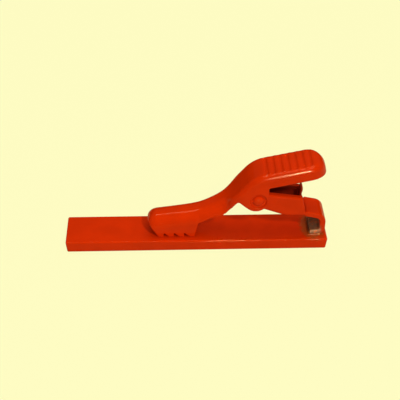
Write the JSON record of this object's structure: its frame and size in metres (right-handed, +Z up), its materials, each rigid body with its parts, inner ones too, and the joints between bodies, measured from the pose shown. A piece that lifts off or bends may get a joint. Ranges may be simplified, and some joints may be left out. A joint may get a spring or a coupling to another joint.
{
  "type": "spring clip with bar",
  "caption": "Flat bar with a toothed spring lever hinged on a bracket at one end, whose jaw closes on the bar's top face.",
  "frame": {"origin": "centre of the bar's underside", "axes": "+Z up from the bar, +X along the bar towards the end that carries the bracket, +Y across the bar"},
  "size_m": [0.05, 0.008, 0.0187],
  "materials": {
    "enamel": "glossy red-orange enamel on steel",
    "spring_enamel": "thin dark red enamel on spring steel",
    "braze": "dull brass braze, partly bare"
  },
  "bodies": {
    "base": {"bar": "enamel", "bracket": "enamel", "pivot_rivet": "enamel", "leaf_spring": "spring_enamel", "braze_bead": "braze"},
    "lever": {"jaw_lever": "enamel"}
  },
  "joints": [
    {"name": "lever_pivot", "type": "hinge", "parent": "base", "child": "lever", "pos_m": [0.01135, 0, 0.0111], "axis": [0, 1, 0], "range_deg": [0, 30], "stiffness_Nm_per_rad": 0.12, "springref_deg": -22.92, "deforming": ["leaf_spring"]}
  ]
}
